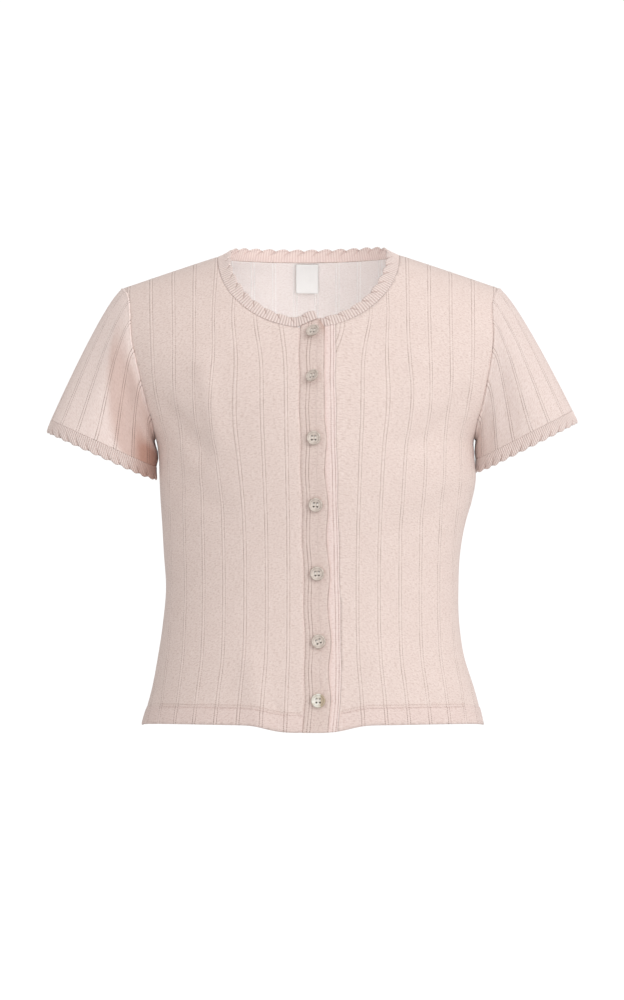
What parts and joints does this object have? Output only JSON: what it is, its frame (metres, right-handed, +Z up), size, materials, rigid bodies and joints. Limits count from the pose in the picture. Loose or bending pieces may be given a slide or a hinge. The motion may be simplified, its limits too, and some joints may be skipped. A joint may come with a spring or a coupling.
{
  "type": "short sleeve cardigan",
  "caption": "Short sleeve round neck cardigan in fine pointelle knit, buttoned up and filled out, with scalloped ribbed trim at neck and cuffs.",
  "frame": {"origin": "middle of the neck, level with the inner ends of the shoulders, half way between front and back", "axes": "+Z up, -Y the buttoned front, +X the wearer's left, which is image right"},
  "size_m": [0.552, 0.2209, 0.501],
  "materials": {
    "jersey": "matt fine pointelle jersey with flecks, pale dusty pink",
    "trim": "matt finely ribbed knit, pale dusty pink",
    "horn": "polished, horn or shell look",
    "label": "smooth woven satin, bare",
    "thread": "cream sewing thread"
  },
  "bodies": {
    "root": {"front_right": "jersey", "front_left": "jersey", "back": "jersey", "buttonhole_band": "jersey", "button_band": "jersey", "neck_trim": "trim", "sleeve_right": "jersey", "cuff_trim_right": "trim", "sleeve_left": "jersey", "cuff_trim_left": "trim", "button_1": "horn", "button_2": "horn", "button_3": "horn", "button_4": "horn", "button_5": "horn", "button_6": "horn", "button_7": "horn", "neck_label": "label"}
  },
  "joints": []
}
